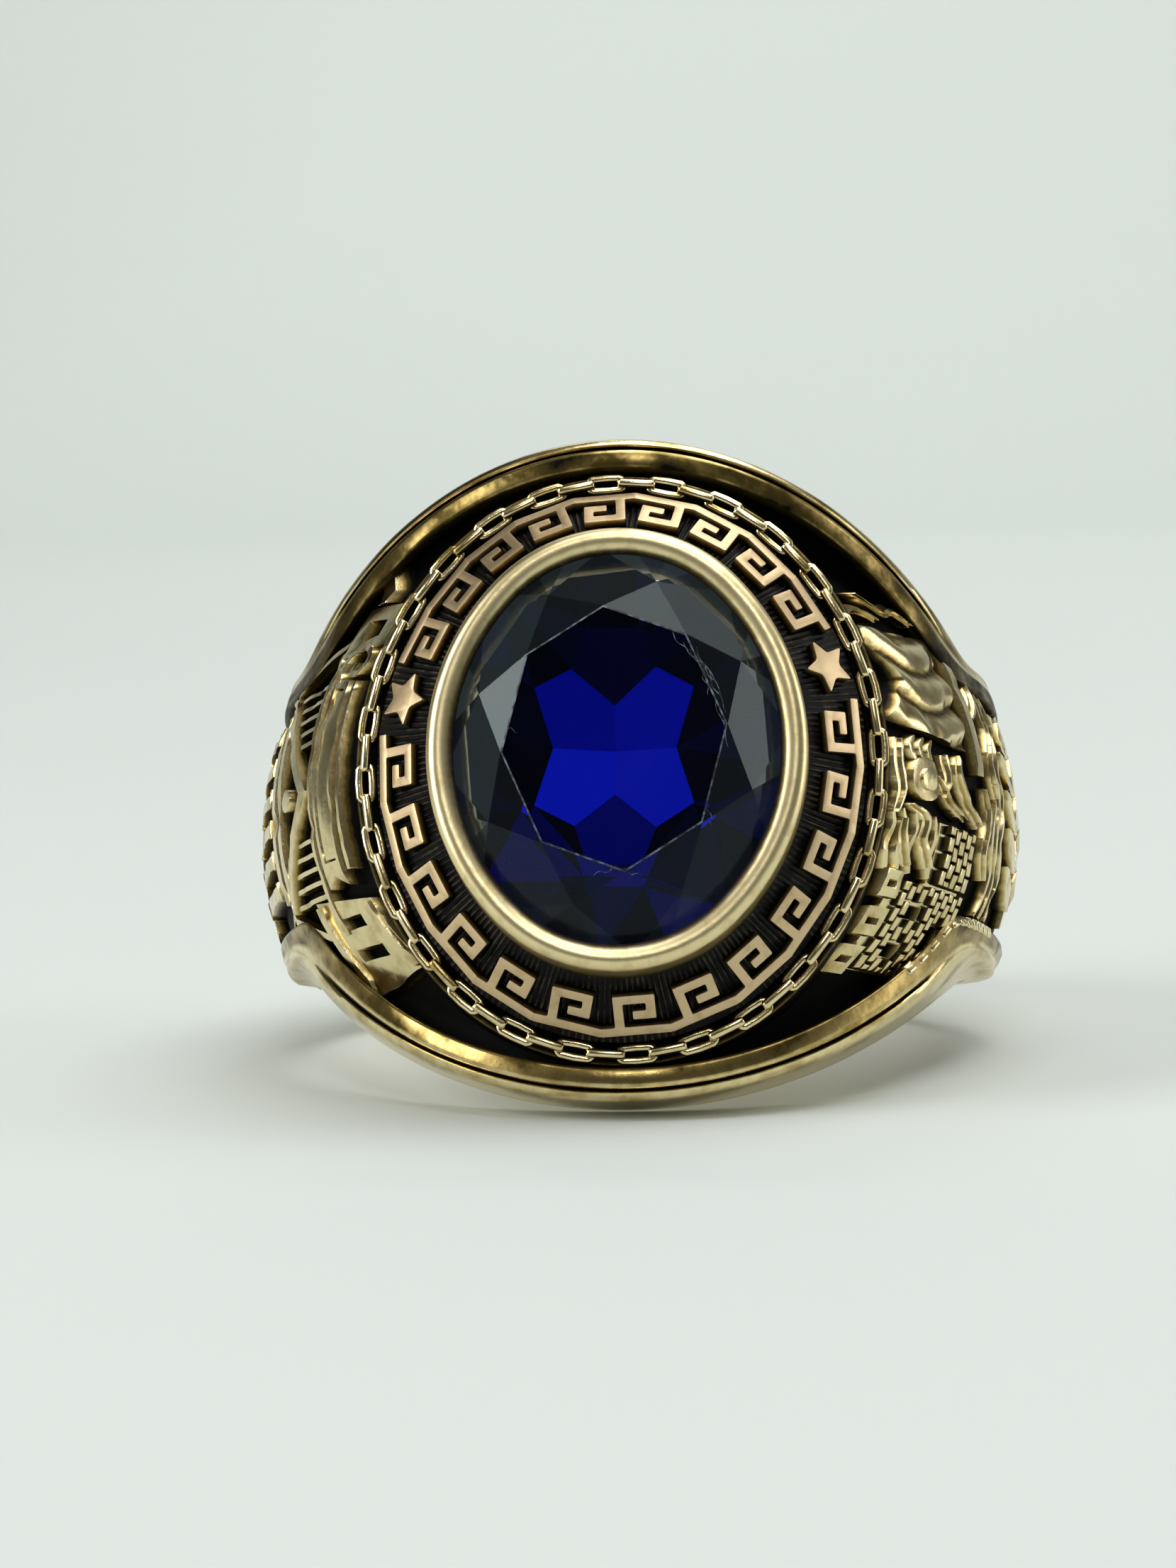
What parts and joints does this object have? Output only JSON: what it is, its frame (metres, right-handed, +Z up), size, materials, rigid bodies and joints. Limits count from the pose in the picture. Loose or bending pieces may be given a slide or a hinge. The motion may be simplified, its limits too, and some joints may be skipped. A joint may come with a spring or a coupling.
{
  "type": "class ring",
  "caption": "Men's class ring: cast yellow gold with a raised head, chain border and relief sides, set with a faceted oval blue stone.",
  "frame": {"origin": "on the floor below the middle of the ring's box, as the ring lies on its side", "axes": "the stone faces -Y and up by 16.8 degrees, +X runs across the finger, +Z is up from the floor; the finger's axis leans 16.8 degrees from +Z towards +Y"},
  "size_m": [0.0238, 0.0284, 0.0194],
  "materials": {
    "cast_gold": "polished cast 10 carat yellow gold with blackened grounds",
    "blue_stone": "faceted and polished deep blue stone"
  },
  "bodies": {
    "root": {"ring_casting": "cast_gold", "stone": "blue_stone"}
  },
  "joints": []
}
